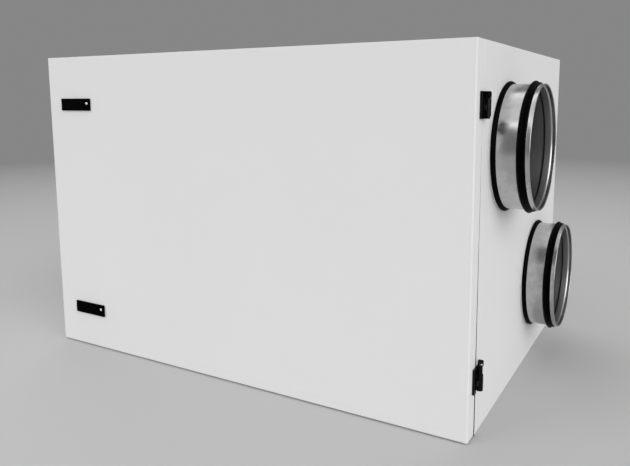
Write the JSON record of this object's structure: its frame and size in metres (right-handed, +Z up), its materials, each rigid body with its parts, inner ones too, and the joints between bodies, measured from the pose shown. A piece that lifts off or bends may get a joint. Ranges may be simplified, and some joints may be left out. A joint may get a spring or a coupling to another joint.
{
  "type": "air handling unit",
  "caption": "White insulated ventilation cabinet with a full-front hinged door, round duct spigots with lip seals on both ends, and a rotary exchanger, filters and fans inside.",
  "frame": {"origin": "middle of the casing's footprint, on the floor", "axes": "+X along the width towards the pictured spigots, the door faces -Y, +Z up"},
  "size_m": [1.587, 0.9675, 0.93],
  "materials": {
    "casing_white": "semi-gloss powder coat",
    "rubber_black": "matt",
    "hinge_black": "fine moulded grain",
    "latch_black": "fine moulded grain",
    "key_metal": "turned zinc",
    "galvanised": "galvanised sheet with faint spangle",
    "exchanger_foil": "wound corrugated foil",
    "filter_media": "pleated fibre",
    "fan_grey": "moulded",
    "motor_black": "satin"
  },
  "bodies": {
    "casing": {"bottom_panel": "casing_white", "top_panel": "casing_white", "back_panel": "casing_white", "left_end_panel": "casing_white", "right_end_panel": "casing_white", "door_gasket": "rubber_black", "upper_hinge_casing_leaf": "hinge_black", "upper_hinge_pin": "hinge_black", "lower_hinge_casing_leaf": "hinge_black", "lower_hinge_pin": "hinge_black", "right_upper_spigot": "galvanised", "right_upper_lip_seal": "rubber_black", "right_upper_base_ring": "rubber_black", "right_lower_spigot": "galvanised", "right_lower_lip_seal": "rubber_black", "right_lower_base_ring": "rubber_black", "left_upper_spigot": "galvanised", "left_upper_lip_seal": "rubber_black", "left_upper_base_ring": "rubber_black", "left_lower_spigot": "galvanised", "left_lower_lip_seal": "rubber_black", "left_lower_base_ring": "rubber_black", "wheel_frame": "galvanised", "wheel_rotor": "exchanger_foil", "right_deck": "galvanised", "left_deck": "galvanised", "upper_filter": "filter_media", "lower_filter": "filter_media", "upper_fan_wall": "galvanised", "upper_fan_impeller": "fan_grey", "upper_fan_motor": "motor_black", "lower_fan_wall": "galvanised", "lower_fan_impeller": "fan_grey", "lower_fan_motor": "motor_black"},
    "door": {"door": "casing_white", "upper_hinge_door_leaf": "hinge_black", "lower_hinge_door_leaf": "hinge_black", "upper_latch_plate": "latch_black", "upper_latch_lever": "latch_black", "upper_latch_key": "key_metal", "lower_latch_plate": "latch_black", "lower_latch_lever": "latch_black", "lower_latch_key": "key_metal"}
  },
  "joints": [
    {"name": "door_hinge", "type": "hinge", "parent": "casing", "child": "door", "pos_m": [0.711, -0.4305, 0.465], "axis": [0, 0, 1], "range_deg": [0, 120]}
  ]
}
